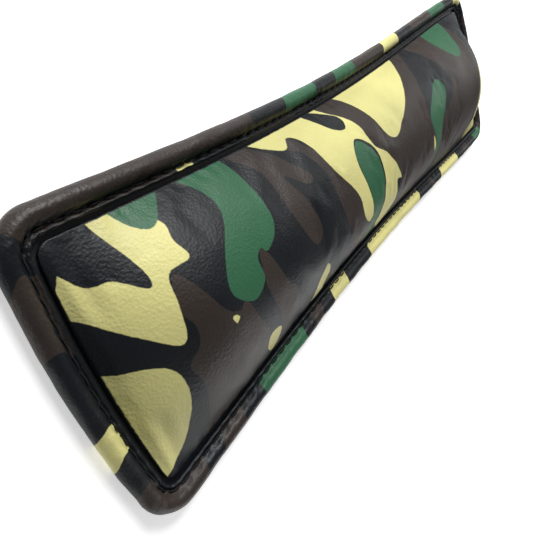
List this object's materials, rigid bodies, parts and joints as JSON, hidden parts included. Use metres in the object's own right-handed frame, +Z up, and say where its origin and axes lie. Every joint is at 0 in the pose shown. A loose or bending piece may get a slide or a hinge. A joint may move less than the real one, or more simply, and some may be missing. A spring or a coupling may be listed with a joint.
{
  "type": "forearm guard",
  "caption": "Padded forearm guard: crowned foam panel in camouflage-print leather on a black base, bound edge, and elastic straps with rings and hook-and-loop tails.",
  "frame": {"origin": "bottom centre: on the plane the guard rests on, at the middle of its length and width", "axes": "+Z up through the padded crown, +Y from the wrist end to the elbow end, +X across the arm towards the strap rings"},
  "size_m": [0.0828, 0.3032, 0.0181],
  "materials": {
    "printed_leather": "satin, fine pebble grain, camouflage print",
    "black_leather": "satin",
    "foam": "matte closed-cell foam",
    "lining": "matte",
    "thread": "satin",
    "elastic": "matte, ribbed",
    "hook_and_loop": "matte, brushed",
    "moulded_plastic": "satin"
  },
  "bodies": {
    "pad": {"outer_cover": "printed_leather", "impact_foam": "foam", "base_sheet": "black_leather", "lining_pad": "foam", "inner_lining": "lining", "edge_binding": "printed_leather", "binding_seam_thread": "thread", "wrist_strap_band": "elastic", "wrist_loop_pad": "hook_and_loop", "wrist_ring_tab": "elastic", "wrist_band_stitch": "thread", "elbow_strap_band": "elastic", "elbow_loop_pad": "hook_and_loop", "elbow_ring_tab": "elastic", "elbow_band_stitch": "thread"},
    "wrist_tail": {"wrist_strap_tail": "elastic", "wrist_hook_pad": "hook_and_loop", "wrist_tail_tip": "moulded_plastic"},
    "wrist_ring_body": {"wrist_ring": "moulded_plastic"},
    "elbow_tail": {"elbow_strap_tail": "elastic", "elbow_hook_pad": "hook_and_loop", "elbow_tail_tip": "moulded_plastic"},
    "elbow_ring_body": {"elbow_ring": "moulded_plastic"}
  },
  "joints": [
    {"name": "wrist_tail_peel", "type": "hinge", "parent": "pad", "child": "wrist_tail", "pos_m": [0.00988, -0.08, 0.0004], "axis": [0, -1, 0], "range_deg": [0, 150]},
    {"name": "wrist_ring_rock", "type": "hinge", "parent": "pad", "child": "wrist_ring_body", "pos_m": [0.018, -0.08, 0.0027], "axis": [0, 1, 0], "range_deg": [-3, 3]},
    {"name": "elbow_tail_peel", "type": "hinge", "parent": "pad", "child": "elbow_tail", "pos_m": [0.01196, 0.08, 0.0004], "axis": [0, -1, 0], "range_deg": [0, 150]},
    {"name": "elbow_ring_rock", "type": "hinge", "parent": "pad", "child": "elbow_ring_body", "pos_m": [0.02009, 0.08, 0.0027], "axis": [0, 1, 0], "range_deg": [-3, 3]}
  ]
}
